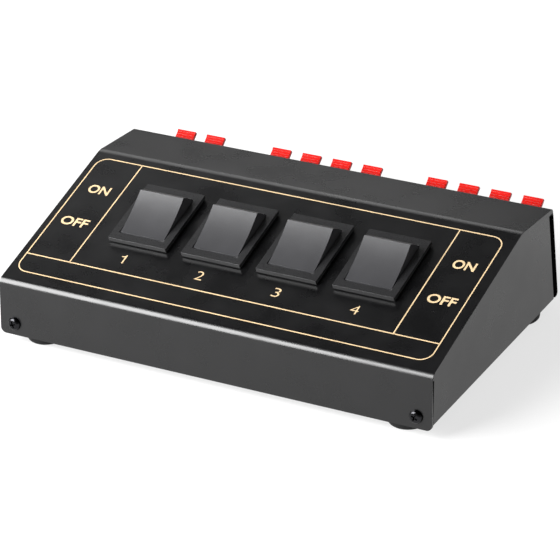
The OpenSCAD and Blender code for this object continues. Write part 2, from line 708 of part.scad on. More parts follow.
// The lever seen from the side: hub, face plate, ribbed tab and the finger under its spring
module lever_outline() {
  tip = [tab_reach, tab_tip_s];
  along = [cos(tab_angle), sin(tab_angle)];
  below = right_of(along);
  lip = tip - along * 0.9;
  root = tip - along * (tab_reach - lever_back) / cos(tab_angle);
  under_tip = tip + below * tab_t;
  under_root = under_tip - along * (under_tip[0] - lever_face) / cos(tab_angle);
  translate([-lever_axis_n, lever_axis_s]) circle(lever_hub_r);
  polygon([[-lever_axis_n, lever_low], [lever_face, lever_low], [lever_face, lever_low + 3],
           [lever_back, lever_low + 3], [lever_back, finger_top + 0.6], [-lever_axis_n, finger_top + 0.6]]);
  polygon([root, lip, lip - below * tab_lip, tip - below * tab_lip, under_tip, under_root,
           [lever_face, lever_low + 2.4], [lever_back, lever_low + 2.4]]);
  for (i = [1:ridge_count]) translate(tip - along * (0.9 + i * ridge_step)) circle(ridge_r, $fn = 24);
  polygon([[-lever_axis_n, finger_top - finger_t], [-lever_axis_n, finger_top],
           [finger_end, finger_top], [finger_end, finger_top - finger_t]]);
}

module lever() {
  across(lever_w) lever_outline();
  for (side = [-1, 1]) translate([side * (lever_w / 2 - eps), -lever_axis_n, lever_axis_s])
    rotate([0, side * 90, 0]) cylinder(h = 0.9, r = lever_pin_r);
  translate([0, spring_n, finger_top - eps]) cylinder(h = 1, r = lever_spring_r - spring_wall - 0.3);
}

// Centre of the nth terminal from the left, across all three boards
function terminal_x(n) = let (b = n < 2 ? 0 : (n < 6 ? 1 : 2), c = n < 2 ? n : (n - 2) % 4)
  boards[b][0] + (c - (boards[b][1] - 1) / 2) * terminal_pitch;

module red_lever(n) color("#e8352c") placed() on_board(terminal_x(n)) lever();

module black_lever(n) color("#1b1b1d") placed() on_board(terminal_x(n)) mirror([0, 0, 1]) lever();

// ---- wiring ----

// Points in the case, from a place on the slope and from one on the rear panel
function slope_point(x, v, w) =
  [x, v * cos(slope_deg) - w * sin(slope_deg), front_h + v * sin(slope_deg) + w * cos(slope_deg)];
function rear_point(x, n, s) = [x, rear_foot[0] + n * rear_out[0] - s * sin(rear_lean),
                                rear_foot[1] + n * rear_out[1] + s * cos(rear_lean)];

// The end of a blade, and the point straight below it at a height
function blade_tip(x, v) = slope_point(x, v, -housing_depth - blade_out);
function below_tip(x, v, z) =
  let (tip = blade_tip(x, v)) tip + [0, tan(slope_deg), -1] * (tip[2] - z);

// From a red tag's end forwards and down to a run at a height
function from_tag(x, z) =
  let (n = -board_depth - tag_out, s = board_mid + tag_s, bend = rear_point(x, n - wire_bend - 1, s))
  [rear_point(x, n, s), bend, [x, bend[1], z]];

function headings(p) = [for (i = [0:len(p) - 1]) unit(p[min(i + 1, len(p) - 1)] - p[max(i - 1, 0)])];

// A side direction carried along the headings without twisting
function carried(t, u) =
  [for (i = 0, v = u; i < len(t); i = i + 1, v = i < len(t) ? unit(v - (v * t[i]) * t[i]) : v) v];

// Eight-sided tube along a path that starts square to the width
module tube(path, d) {
  t = headings(path);
  u = carried(t, [1, 0, 0]);
  last = len(path) - 1;
  polyhedron(
    [for (i = [0:last], k = [0:7]) path[i] + d / 2 * (cos(45 * k) * u[i] + sin(45 * k) * cross(t[i], u[i]))],
    concat([[for (k = [0:7]) k]], [[for (k = [7:-1:0]) 8 * last + k]],
           [for (i = [0:last - 1], k = [0:7]) each
             [[8 * i + (k + 1) % 8, 8 * i + k, 8 * i + 8 + k],
              [8 * i + (k + 1) % 8, 8 * i + 8 + k, 8 * i + 8 + (k + 1) % 8]]]));
}

// One wire from a red tag, forwards and down, along a run at a height, and up to a blade
module tag_to_blade(tag_x, x, v, z) {
  points = concat(from_tag(tag_x, z), [below_tip(x, v, z), blade_tip(x, v)]);
  tube(round_path(points, [wire_bend, wire_bend, wire_bend], 5), wire_d);
}

// From each switch's end blades under the switches to the red tags of its two output terminals
module switched_wires() color("#b3211c") placed() {
  v = switch_v - arm_rivet_v;
  for (i = [0:3], pole = [0, 1])
    tag_to_blade(terminal_x(2 + 2 * i + pole), switch_x[i] + (2 * pole - 1) * pole_x, v, switched_lane);
}

// From the input's red tags to the first middle blades, and on from switch to switch
module feed_wires() color("#d8d6d0") placed() {
  leg = 0.75 * wire_d;
  deep = -housing_depth - blade_out;
  for (pole = [0, 1])
    tag_to_blade(terminal_x(pole), switch_x[0] + (2 * pole - 1) * pole_x - leg, switch_v, feed_lane);
  for (i = [0:2]) {
    left = [switch_x[i] - pole_x + leg, switch_x[i + 1] - pole_x - leg];
    back = switch_v + 1.65 * wire_d;
    tube(round_path([blade_tip(left[0], switch_v), slope_point(left[0], switch_v, deep - 1.5),
                     slope_point(left[0], back, deep - 3), slope_point(left[1], back, deep - 3),
                     slope_point(left[1], switch_v, deep - 1.5), blade_tip(left[1], switch_v)],
                    [1, 1, 1, 1], 4), wire_d);
    right = [left[0] + 2 * pole_x, left[1] + 2 * pole_x];
    tube(round_path([blade_tip(right[0], switch_v), slope_point(right[0], switch_v, deep - 6),
                     slope_point(right[1], switch_v, deep - 6), blade_tip(right[1], switch_v)],
                    [1.5, 1.5], 4), wire_d);
  }
}

// One bare wire lying on all the black tags
module return_wire() color("#c9ccd0") placed() {
  ends = [terminal_x(0) - tag_w, terminal_x(9) + tag_w];
  lift = contact_t / 2 + bare_wire_d / 2 * cos(22.5);
  on_rear() translate([ends[0], -board_depth - tag_out + 1.5, board_mid - tag_s + lift]) rotate([0, 90, 0])
    rotate([0, 0, 22.5]) cylinder(h = ends[1] - ends[0], d = bare_wire_d, $fn = 8);
}

// ---- the part ----

top_cover();
base_plate();
rear_panel();
rubber_feet();
foot_screws();
front_screws();
rear_screws();
terminal_board(input_x, input_cols);  // input_terminal_board
terminal_board(output_a_x, output_cols);  // output_a_terminal_board
terminal_board(output_b_x, output_cols);  // output_b_terminal_board
terminal_board_screws();
terminal_contacts(input_x, input_cols);  // input_contacts
terminal_contacts(output_a_x, output_cols);  // output_a_contacts
terminal_contacts(output_b_x, output_cols);  // output_b_contacts
lever_springs();
for (n = [0:9]) {
  red_lever(n);
  black_lever(n);
}
for (i = [0:3]) {
  switch_housing(i);
  rocker(i);
  plungers(i);
  rocker_springs(i);
  contact_arms(i);
}
switch_blades();
switched_wires();
feed_wires();
return_wire();
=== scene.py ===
import math

import bmesh
import bpy
from mathutils import Matrix, Vector


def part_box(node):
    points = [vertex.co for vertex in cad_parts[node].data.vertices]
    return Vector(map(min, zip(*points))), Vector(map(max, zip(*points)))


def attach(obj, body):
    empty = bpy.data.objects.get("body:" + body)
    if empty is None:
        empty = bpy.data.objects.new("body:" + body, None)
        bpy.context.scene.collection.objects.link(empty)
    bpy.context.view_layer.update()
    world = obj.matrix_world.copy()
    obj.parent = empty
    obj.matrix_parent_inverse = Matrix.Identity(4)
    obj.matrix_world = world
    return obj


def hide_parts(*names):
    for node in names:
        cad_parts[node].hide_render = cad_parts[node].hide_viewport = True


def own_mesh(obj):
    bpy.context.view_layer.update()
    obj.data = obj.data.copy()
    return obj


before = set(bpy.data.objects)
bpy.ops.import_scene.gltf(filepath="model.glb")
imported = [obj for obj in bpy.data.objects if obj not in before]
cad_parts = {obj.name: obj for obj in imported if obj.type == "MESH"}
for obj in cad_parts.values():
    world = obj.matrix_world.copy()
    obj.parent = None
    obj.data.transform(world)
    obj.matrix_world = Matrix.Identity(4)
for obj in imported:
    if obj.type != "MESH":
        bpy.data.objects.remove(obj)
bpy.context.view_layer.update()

# ---- sizes in millimetres, as the part's source gives them ----

MM = 0.001
UP, BACK = Vector((0, 0, 1)), Vector((0, 1, 0))

# Case: the front panel leans forward, the strip behind the slope falls to the rear, the rear panel leans in
CASE_W = 185.0
FRONT_LEAN, FRONT_H = 2.5, 21.8
SLOPE_RUN, SLOPE_RISE = 75.5, 21.0
STRIP_RUN, STRIP_DROP = 26.7, 2.3
REAR_LEAN = math.radians(4.5)
SLOPE = math.atan2(SLOPE_RISE, SLOPE_RUN)
FRONT = math.atan2(FRONT_LEAN, FRONT_H)
SHEET = 1.0
SIDE_LIFT = 2.1
REAR_DEPTH = 3.7
LIP = 3.0
FRONT_SCREW_IN, FRONT_SCREW_UP = 6.4, 4.7

# Switches along the slope, and terminals along the rear panel
SWITCH_X = [0.8 + (i - 1.5) * 32.5 for i in range(4)]
SWITCH_V = 46.9
ROCKER_TILT = math.radians(17.5)
AXIS_DEPTH = 3.0
BOARD_MID = 18.0
TERMINAL_X = [-73.0, -59.45, -29.05, -15.5, -1.95, 11.6, 40.0, 53.55, 67.1, 80.65]

low_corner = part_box("top_cover")[0]
rear_top = Vector((SLOPE_RUN + STRIP_RUN, FRONT_H + SLOPE_RISE - STRIP_DROP))
rear_up = Vector((-math.sin(REAR_LEAN), math.cos(REAR_LEAN)))
panel_len = (rear_top.y - SIDE_LIFT) / math.cos(REAR_LEAN)
rear_foot = rear_top - rear_up * panel_len

# Places: each takes millimetres measured on that surface to metres in the shared frame
in_case = Matrix.Translation((0, low_corner.y + FRONT_LEAN * MM, low_corner.z)) @ Matrix.Scale(MM, 4)
on_slope = in_case @ Matrix.Translation((0, 0, FRONT_H)) @ Matrix.Rotation(SLOPE, 4, "X")
on_front = in_case @ Matrix.Translation((0, -FRONT_LEAN, 0)) @ Matrix.Rotation(-FRONT, 4, "X")
on_rear = in_case @ Matrix.Translation((0, rear_foot.x, rear_foot.y)) @ Matrix.Rotation(REAR_LEAN, 4, "X")


def at_switch(i):
    return on_slope @ Matrix.Translation((SWITCH_X[i], SWITCH_V, 0))


def at_rocker(i):
    return at_switch(i) @ Matrix.Translation((0, 0, -AXIS_DEPTH)) @ Matrix.Rotation(ROCKER_TILT, 4, "X")


def at_terminal(n):
    return on_rear @ Matrix.Translation((TERMINAL_X[n], 0, BOARD_MID))


def front_screw_place(side):
    return Matrix.Translation((side * (CASE_W / 2 - FRONT_SCREW_IN), 0, FRONT_SCREW_UP))


# ---- camera, floor and light ----

# The camera stands where the case's edges line up with the photograph
bpy.ops.object.camera_add(location=(0.529480, -0.888220, 0.569341),
                          rotation=[math.radians(a) for a in (61.86456, 3.20030, 29.13557)])
camera = bpy.context.object
camera.data.lens = 196.838
camera.data.sensor_width = 36
camera.data.clip_start = 0.05
bpy.context.scene.camera = camera
bpy.context.scene.view_settings.view_transform = "Standard"


def linear(hex_colour):
    """A written sRGB colour as the linear one that the shaders take."""
    parts = [int(hex_colour[k:k + 2], 16) / 255 for k in (1, 3, 5)]
    return [c / 12.92 if c <= 0.04045 else ((c + 0.055) / 1.055) ** 2.4 for c in parts] + [1]


def add(tree, kind, inputs=None, **settings):
    """Adds a node with its settings; an input is either a value or another node's output."""
    made = tree.nodes.new("ShaderNode" + kind)
    for name, value in settings.items():
        setattr(made, name, value)
    for name, value in (inputs or {}).items():
        if isinstance(value, bpy.types.NodeSocket):
            tree.links.new(value, made.inputs[name])
        else:
            made.inputs[name].default_value = value
    return made.outputs


def new_tree(name):
    material = bpy.data.materials.new(name)
    material.use_nodes = True
    material.node_tree.nodes.clear()
    return material, material.node_tree


def seen_directly(tree):
    """1 for rays from the camera, and for those that gloss and glass send on."""
    path = add(tree, "LightPath")
    first = add(tree, "Math", {0: path["Is Camera Ray"], 1: path["Is Glossy Ray"]}, operation="MAXIMUM")
    return add(tree, "Math", {0: first[0], 1: path["Is Transmission Ray"]}, operation="MAXIMUM")[0]


WHITE = (1, 1, 1, 1)
FLOOR_GLOW = 0.7

# The floor is white paper: matt, and kept near white for the camera, with the object's soft shadow on it
paper, tree = new_tree("white_paper_floor")
matt = add(tree, "BsdfDiffuse", {"Color": linear("#eeeeee")})
glow = add(tree, "Emission", {"Color": WHITE, "Strength": 1.0})
share = add(tree, "Math", {0: seen_directly(tree), 1: FLOOR_GLOW}, operation="MULTIPLY")
both = add(tree, "MixShader", {0: share[0], 1: matt[0], 2: glow[0]})
add(tree, "OutputMaterial", {"Surface": both[0]})

bpy.ops.mesh.primitive_plane_add(size=6, location=(0, 0, -0.0002))
floor = bpy.context.object
floor.name = "floor"
floor.data.materials.append(paper)

# The room is a white studio seen directly, dimmer overhead for the gloss and as a light source
world = bpy.data.worlds.new("studio")
bpy.context.scene.world = world
world.use_nodes = True
tree = world.node_tree
tree.nodes.clear()
way = add(tree, "SeparateXYZ", {0: add(tree, "TexCoord")["Generated"]})
dimming = add(tree, "MapRange", {"Value": way["Z"], "From Min": 0.0, "From Max": 0.55,
                                 "To Min": 0.4, "To Max": 0.02})
path = add(tree, "LightPath")
room = add(tree, "Background", {"Color": WHITE, "Strength": 0.2})
gloss = add(tree, "Background", {"Color": WHITE, "Strength": dimming[0]})
white = add(tree, "Background", {"Color": WHITE, "Strength": 1.0})
first = add(tree, "MixShader", {0: path["Is Glossy Ray"], 1: room[0], 2: gloss[0]})
straight = add(tree, "Math", {0: path["Is Camera Ray"], 1: path["Is Transmission Ray"]}, operation="MAXIMUM")
second = add(tree, "MixShader", {0: straight[0], 1: first[0], 2: white[0]})
add(tree, "OutputWorld", {"Surface": second[0]})


def soft_box(name, place, aim, width, height, watts):
    """A rectangular soft light in metres, turned to what it lights."""
    bpy.ops.object.light_add(type="AREA", location=place)
    lamp = bpy.context.object
    lamp.name = name
    lamp.data.shape = "RECTANGLE"
    lamp.data.size, lamp.data.size_y = width, height
    lamp.data.energy = watts
    lamp.rotation_euler = (Vector(aim) - Vector(place)).to_track_quat("-Z", "Y").to_euler()


# The key light lies low in front on the left, where the front bend mirrors it as a bright line
soft_box("key_softbox", (-0.58, -0.62, 0.54), (0, -0.02, 0.02), 0.74, 0.70, 31)
soft_box("back_strip", (-0.62, 0.76, 0.68), (0, 0.03, 0.04), 0.72, 0.34, 1.8)
soft_box("edge_strip", (0.68, 0.42, 0.56), (0, 0.03, 0.04), 0.30, 0.30, 1.2)

# ---- finishes ----


def coated(name, colour, gloss, grain_mm, depth_mm):
    """Powder coat on folded steel: an even satin skin with fine orange peel, a little smoother in places."""
    material, tree = new_tree(name)
    at = add(tree, "TexCoord")["Object"]
    cloud = add(tree, "TexNoise", {"Vector": at, "Scale": 1 / (14 * MM), "Detail": 4})
    peel = add(tree, "TexNoise", {"Vector": at, "Scale": 1 / (grain_mm * MM), "Detail": 2})
    # The powder's own grains are about 0.1 mm; they are drawn at 0.9 mm so that they show
    speck = add(tree, "TexVoronoi", {"Vector": at, "Scale": 1 / (0.9 * MM)})
    tone = add(tree, "MapRange", {"Value": cloud[0], "From Min": 0.35, "From Max": 0.65,
                                  "To Min": 0.88, "To Max": 1.12})
    grain = add(tree, "MapRange", {"Value": speck["Distance"], "To Min": 1.06, "To Max": 0.92})
    both = add(tree, "Math", {0: tone[0], 1: grain[0]}, operation="MULTIPLY")
    shade = add(tree, "VectorMath", {0: linear(colour)[:3], "Scale": both[0]}, operation="SCALE")
    rough = add(tree, "MapRange", {"Value": cloud[0], "From Min": 0.3, "From Max": 0.7,
                                   "To Min": gloss - 0.03, "To Max": gloss + 0.04})
    bump = add(tree, "Bump", {"Height": peel[0], "Strength": 0.5, "Distance": depth_mm * MM})
    skin = add(tree, "BsdfPrincipled", {"Base Color": shade[0], "Roughness": rough[0], "Normal": bump[0],
                                        "IOR": 1.52})
    add(tree, "OutputMaterial", {"Surface": skin[0]})
    return material


def moulded(name, colour, gloss, grain_mm, depth_mm, soft=0.0, shine=0.5):
    """Moulded plastic or rubber: the mould's fine spark texture, with slight flow marks in tone and gloss."""
    material, tree = new_tree(name)
    at = add(tree, "TexCoord")["Object"]
    flow = add(tree, "TexNoise", {"Vector": at, "Scale": 1 / (9 * MM), "Detail": 3})
    # Spark texture is about 0.05 mm on the real mould; grain_mm is as coarse as it has to be to show
    spark = add(tree, "TexNoise", {"Vector": at, "Scale": 1 / (grain_mm * MM), "Detail": 3, "Roughness": 0.6})
    tone = add(tree, "MapRange", {"Value": flow[0], "From Min": 0.35, "From Max": 0.65,
                                  "To Min": 0.92, "To Max": 1.08})
    fleck = add(tree, "MapRange", {"Value": spark[0], "From Min": 0.3, "From Max": 0.7,
                                   "To Min": 0.93, "To Max": 1.07})
    both = add(tree, "Math", {0: tone[0], 1: fleck[0]}, operation="MULTIPLY")
    shade = add(tree, "VectorMath", {0: linear(colour)[:3], "Scale": both[0]}, operation="SCALE")
    rough = add(tree, "MapRange", {"Value": spark[0], "From Min": 0.3, "From Max": 0.7,
                                   "To Min": gloss - 0.04, "To Max": gloss + 0.05})
    bump = add(tree, "Bump", {"Height": spark[0], "Strength": 0.6, "Distance": depth_mm * MM})
    skin = add(tree, "BsdfPrincipled", {"Base Color": shade[0], "Roughness": rough[0], "Normal": bump[0],
                                        "IOR": 1.5, "Specular IOR Level": shine, "Subsurface Weight": soft,
                                        "Subsurface Radius": (0.0012, 0.0004, 0.0003)})
    add(tree, "OutputMaterial", {"Surface": skin[0]})
    return material


def metal(name, colour, gloss, grain_mm, depth_mm):
    """Plated or bare metal: bright, with the fine marks of drawing or rolling and a little tarnish."""
    material, tree = new_tree(name)
    at = add(tree, "TexCoord")["Object"]
    marks = add(tree, "TexNoise", {"Vector": at, "Scale": 1 / (grain_mm * MM), "Detail": 4})
    cloud = add(tree, "TexNoise", {"Vector": at, "Scale": 1 / (4 * MM), "Detail": 3})
    tone = add(tree, "MapRange", {"Value": cloud[0], "From Min": 0.3, "From Max": 0.7,
                                  "To Min": 0.85, "To Max": 1.08})
    shade = add(tree, "VectorMath", {0: linear(colour)[:3], "Scale": tone[0]}, operation="SCALE")
    rough = add(tree, "MapRange", {"Value": marks[0], "From Min": 0.3, "From Max": 0.7,
                                   "To Min": gloss - 0.06, "To Max": gloss + 0.08})
    bump = add(tree, "Bump", {"Height": marks[0], "Strength": 0.4, "Distance": depth_mm * MM})
    skin = add(tree, "BsdfPrincipled", {"Base Color": shade[0], "Roughness": rough[0], "Normal": bump[0],
                                        "Metallic": 1.0})
    add(tree, "OutputMaterial", {"Surface": skin[0]})
    return material


# Sprayed and baked powder on steel: near black, satin, with broad soft reflections of the lights
powder_coat = coated("black_powder_coated_steel", "#080809", 0.28, 0.7, 0.003)
# Screen print: a thin, matt, pale gold skin
gold_ink = moulded("gold_screen_print_ink", "#ccb28a", 0.5, 0.5, 0.004)
# Injection-moulded ABS: the rockers are satin grey-black, their housings a little darker and smoother
rocker_abs = moulded("black_abs_rocker", "#303032", 0.38, 0.35, 0.012)
housing_abs = moulded("black_abs_switch_housing", "#1c1c1d", 0.30, 0.35, 0.0015, shine=0.6)
# The rear panel swallows light; the terminal boards in it are smoother
rear_abs = moulded("black_abs_rear_panel", "#050505", 0.6, 0.6, 0.02, shine=0.0)
board_abs = moulded("black_abs_terminal_board", "#161618", 0.32, 0.5, 0.01)
# Levers: full red that stays red in the light, and plain black
red_lever_abs = moulded("red_abs_lever", "#b41812", 0.24, 0.5, 0.002, shine=0.16)
black_lever_abs = moulded("black_abs_lever", "#1a1a1c", 0.34, 0.5, 0.008)
# Moulded rubber: dull, with hardly any highlight
foot_rubber = moulded("black_foot_rubber", "#0e0e0f", 0.7, 0.6, 0.03, shine=0.3)
# Black oxide on steel: dark, with sharp glints on the screw heads
black_steel = metal("black_oxide_steel_screw", "#2e2e30", 0.16, 0.4, 0.002)
# Zinc plate: pale, slightly blue and softly bright
zinc_plate = metal("zinc_plated_steel_screw", "#c4c6ca", 0.3, 0.4, 0.006)
# Rolled brass strip, and copper strip tinned dull white for soldering
brass = metal("rolled_brass_contact", "#c9a25c", 0.28, 0.3, 0.004)
tin_plate = metal("tinned_copper_blade", "#cfd0cf", 0.35, 0.3, 0.004)
# Drawn wire: bright along its length
spring_wire = metal("drawn_spring_steel", "#b0b3b8", 0.25, 0.3, 0.003)
# Unfilled nylon: milky, with light let in at its edges
nylon = moulded("natural_nylon_plunger", "#d8d6ca", 0.4, 0.4, 0.006, soft=0.2)
# Extruded PVC: smooth and waxy
red_pvc = moulded("red_pvc_wire", "#b8201c", 0.35, 0.4, 0.006)
white_pvc = moulded("white_pvc_wire", "#d8d6d0", 0.35, 0.4, 0.006)

# ---- modelling by hand: small steps that the pieces share ----

SMOOTH_BELOW = math.radians(35)


def new(kind, name, **settings):
    """Adds a primitive on its own, with its place in its mesh; everything here is drawn in millimetres."""
    bpy.ops.object.select_all(action="DESELECT")
    getattr(bpy.ops.mesh, f"primitive_{kind}_add")(**settings)
    piece = bpy.context.object
    piece.name = piece.data.name = name
    bpy.ops.object.transform_apply(location=True, rotation=True, scale=True)
    return piece


def block(name, low, high):
    """A box between two corners."""
    low, high = Vector(low), Vector(high)
    piece = new("cube", name, size=1)
    piece.scale, piece.location = high - low, (low + high) / 2
    bpy.ops.object.transform_apply(location=True, rotation=True, scale=True)
    return piece


def pick(piece, kind, test):
    """Opens the piece and selects the faces, edges or points that pass a test of their middle and normal."""
    if bpy.context.mode != "OBJECT":
        bpy.ops.object.mode_set(mode="OBJECT")
    bpy.ops.object.select_all(action="DESELECT")
    piece.select_set(True)
    bpy.context.view_layer.objects.active = piece
    bpy.ops.object.mode_set(mode="EDIT")
    bpy.ops.mesh.select_mode(type=kind)
    bpy.ops.mesh.select_all(action="DESELECT")
    mesh = bmesh.from_edit_mesh(piece.data)
    for part in {"FACE": mesh.faces, "EDGE": mesh.edges, "VERT": mesh.verts}[kind]:
        if kind == "FACE":
            chosen = test(part.calc_center_median(), part.normal)
        elif kind == "EDGE":
            chosen = test((part.verts[0].co + part.verts[1].co) / 2, part.verts[1].co - part.verts[0].co)
        else:
            chosen = test(part.co, part.normal)
        part.select_set(bool(chosen))
    mesh.select_flush_mode()
    bmesh.update_edit_mesh(piece.data)


def close():
    """Leaves the open piece."""
    bpy.ops.object.mode_set(mode="OBJECT")


def extrude(x, y, z):
    """Draws out what is selected by a step."""
    bpy.ops.mesh.extrude_region_move(TRANSFORM_OT_translate={"value": (x, y, z)})


def round_edges(piece, radius, segments, test):
    """Rounds the edges that pass a test of their middle and direction."""
    pick(piece, "EDGE", test)
    bpy.ops.mesh.bevel(offset=radius, segments=segments, affect="EDGES", clamp_overlap=True)
    close()


def face_out(piece):
    """Merges what touches and turns all faces outwards."""
    pick(piece, "FACE", lambda m, n: True)
    bpy.ops.mesh.remove_doubles(threshold=0.0001)
    bpy.ops.mesh.normals_make_consistent(inside=False)
    close()


def outline(name, points, width):
    """Draws a side outline of [depth, height] point by point and extrudes it across the width."""
    piece = new("plane", name, size=1)
    pick(piece, "VERT", lambda m, n: True)
    bpy.ops.mesh.merge(type="CENTER")
    bpy.ops.transform.translate(value=(-width / 2, points[0][0], points[0][1]))
    for a, b in zip(points, points[1:]):
        extrude(0, b[0] - a[0], b[1] - a[1])
    bpy.ops.mesh.select_all(action="SELECT")
    bpy.ops.mesh.edge_face_add()
    bpy.ops.mesh.select_mode(type="FACE")
    extrude(width, 0, 0)
    close()
    face_out(piece)
    return piece


def turned(name, points, steps):
    """Spins a half outline of [radius, height] about the z axis."""
    piece = new("plane", name, size=1)
    pick(piece, "VERT", lambda m, n: True)
    bpy.ops.mesh.merge(type="CENTER")
    bpy.ops.transform.translate(value=(points[0][0], 0, points[0][1]))
    for a, b in zip(points, points[1:]):
        extrude(b[0] - a[0], 0, b[1] - a[1])
    bpy.ops.mesh.select_all(action="SELECT")
    bpy.ops.mesh.spin(steps=steps, angle=math.tau, center=(0, 0, 0), axis=(0, 0, 1))
    close()
    face_out(piece)
    return piece


def joined(name, pieces):
    """Makes one object of several pieces."""
    bpy.ops.object.select_all(action="DESELECT")
    for piece in pieces:
        piece.select_set(True)
    bpy.context.view_layer.objects.active = pieces[0]
    if len(pieces) > 1:
        bpy.ops.object.join()
    piece = bpy.context.object
    piece.name = piece.data.name = name
    return piece


def modify(piece, kind, **settings):
    """Adds a modifier and applies it."""
    bpy.ops.object.select_all(action="DESELECT")
    piece.select_set(True)
    bpy.context.view_layer.objects.active = piece
    modifier = piece.modifiers.new(kind.lower(), kind)
    for name, value in settings.items():
        setattr(modifier, name, value)
    bpy.ops.object.modifier_apply(modifier=modifier.name)


def cut(piece, cutter):
    """Takes the cutter's shape out of the piece and throws the cutter away."""
    modify(piece, "BOOLEAN", operation="DIFFERENCE", solver="EXACT", object=cutter)
    bpy.data.objects.remove(cutter)


def moved(piece, place):
    """A copy of the piece with its own mesh, taken to its place."""
    copy = piece.copy()
    copy.data = piece.data.copy()
    bpy.context.scene.collection.objects.link(copy)
    copy.data.transform(place)
    if place.determinant() < 0:
        copy.data.flip_normals()
    return copy


def finished(piece, name, material, body, slot, *nodes):
    """Names a piece that is in its place, gives it its finish and sets it on its body."""
    piece.name = piece.data.name = name
    bpy.ops.object.select_all(action="DESELECT")
    piece.select_set(True)
    bpy.context.view_layer.objects.active = piece
    bpy.ops.object.shade_smooth_by_angle(angle=SMOOTH_BELOW)
    modify(piece, "WEIGHTED_NORMAL", keep_sharp=True)
    piece.data.materials.clear()
    piece.data.materials.append(material)
    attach(piece, body)
    if nodes:
        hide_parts(*nodes)
    return piece


def from_solid(node, radius):
    """A merged copy of a CAD node with its edges rounded by a radius in millimetres."""
    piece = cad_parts[node].copy()
    piece.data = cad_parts[node].data.copy()
    piece.parent = None
    for key in list(piece.keys()):
        del piece[key]
    bpy.context.scene.collection.objects.link(piece)
    piece.data.transform(Matrix.Scale(1 / MM, 4))
    pick(piece, "FACE", lambda m, n: True)
    bpy.ops.mesh.remove_doubles(threshold=0.0005)
    bpy.ops.mesh.dissolve_limited(angle_limit=math.radians(0.5))
    close()
    modify(piece, "BEVEL", width=radius, segments=2, limit_method="ANGLE", angle_limit=math.radians(50))
    piece.data.transform(Matrix.Scale(MM, 4))
    return piece


# ---- cover: one folded sheet, drawn as a wedge, rounded at its bends, opened and given its thickness ----

# Each bend: its outer radius, half the angle that the sheet turns, its steps, and where the sharp edge lay
BENDS = ((2.8, 33.98, 10, (0, FRONT_H)),
         (8, 10.2, 8, (SLOPE_RUN, FRONT_H + SLOPE_RISE)),
         (1.6, 40.3, 8, rear_top))
CORNER_R = 2.3
FOLD_R = 0.4
SCREW_HOLE_R = 1.65
CUTOUT_HALF_W, CUTOUT_HALF_L = 11.15, 14.15

seam = SHEET + 0.06
slit_top = math.hypot(FRONT_LEAN, FRONT_H) - 2.1
panel_h = panel_len - LIP
notch_top = panel_len - 1.6
rear_low = rear_foot - rear_up * (rear_foot.y / rear_up.y)
case_to_front = on_front.inverted() @ in_case
case_to_slope = on_slope.inverted() @ in_case
case_to_rear = on_rear.inverted() @ in_case
strip_up = Vector((STRIP_DROP, STRIP_RUN)).normalized()
cover = outline("cover", [(-FRONT_LEAN, 0), (0, FRONT_H), (SLOPE_RUN, FRONT_H + SLOPE_RISE),
                          rear_top, rear_low], CASE_W)


def parted(piece, place, way, at, test):
    """Splits the chosen faces by the plane that lies so far up or back on a place of the case."""
    to_case = in_case.inverted() @ place
    pick(piece, "FACE", test)
    bpy.ops.mesh.bisect(plane_co=to_case @ (way * at), plane_no=(to_case.to_3x3() @ way).normalized())
    close()


def removed(piece, test):
    """Deletes the faces that pass a test of their middle and normal."""
    pick(piece, "FACE", test)
    bpy.ops.mesh.delete(type="FACE")
    close()


def is_side(m, n):
    return abs(n.x) > 0.99


def is_behind(m, n):
    return n.y > 0.9


def is_slit(m, n):
    """The strip of a side in front of the seam."""
    return is_side(m, n) and (case_to_front @ m).y < seam


def is_notch(m, n):
    """The strip of a side beside the rear panel."""
    return is_side(m, n) and (case_to_rear @ m).y > -REAR_DEPTH


for radius, half_turn, steps, (depth, height) in BENDS:
    round_edges(cover, radius * math.tan(math.radians(half_turn)), steps,
                lambda m, d: abs(d.x) > 1 and abs(m.y - depth) < 0.1 and abs(m.z - height) < 0.1)

# The sides end at the seam behind the front panel, above the base and round the rear panel
parted(cover, on_front, BACK, seam, is_side)
parted(cover, on_front, UP, slit_top, is_slit)
removed(cover, lambda m, n: is_slit(m, n) and (case_to_front @ m).z < slit_top)
removed(cover, lambda m, n: n.z < -0.6)
parted(cover, in_case, UP, SIDE_LIFT, is_side)
removed(cover, lambda m, n: is_side(m, n) and m.z < SIDE_LIFT)
parted(cover, on_rear, UP, panel_h, is_behind)
parted(cover, on_rear, BACK, -REAR_DEPTH, is_side)
parted(cover, on_rear, UP, notch_top, is_notch)
removed(cover, lambda m, n: is_notch(m, n) and (case_to_rear @ m).z < notch_top
        or is_behind(m, n) and (case_to_rear @ m).y > -REAR_DEPTH and (case_to_rear @ m).z < panel_h)
pick(cover, "VERT", lambda m, n: m.z < 0.01 and m.y < -2 and abs(m.x) > CASE_W / 2 - 0.5)
bpy.ops.mesh.bevel(offset=CORNER_R, segments=8, affect="VERTICES")
close()
modify(cover, "SOLIDIFY", thickness=SHEET, offset=-1, use_even_offset=True, use_quality_normals=True)
# The sheet's inner face runs a little below the front panel's edge, and is brought back up to it
pick(cover, "VERT", lambda m, n: m.z < -0.001)
bpy.ops.transform.resize(value=(1, 1, 0), center_override=(0, 0, 0))
close()


def side_fold(m, d):
    """The outer edge between the sheet and its sides, above the slit and the rear panel."""
    front, slope, rear = case_to_front @ m, case_to_slope @ m, case_to_rear @ m
    strip = (rear_top - Vector((m.y, m.z))).dot(strip_up)
    near = min(front.y, -slope.z, strip, -rear.y) < 1
    return (abs(abs(m.x) - CASE_W / 2) < 0.001 and abs(d.x) < 0.001 and near
            and front.z > slit_top + 0.01 and (rear.y < -1.2 or rear.z > notch_top + 0.01))


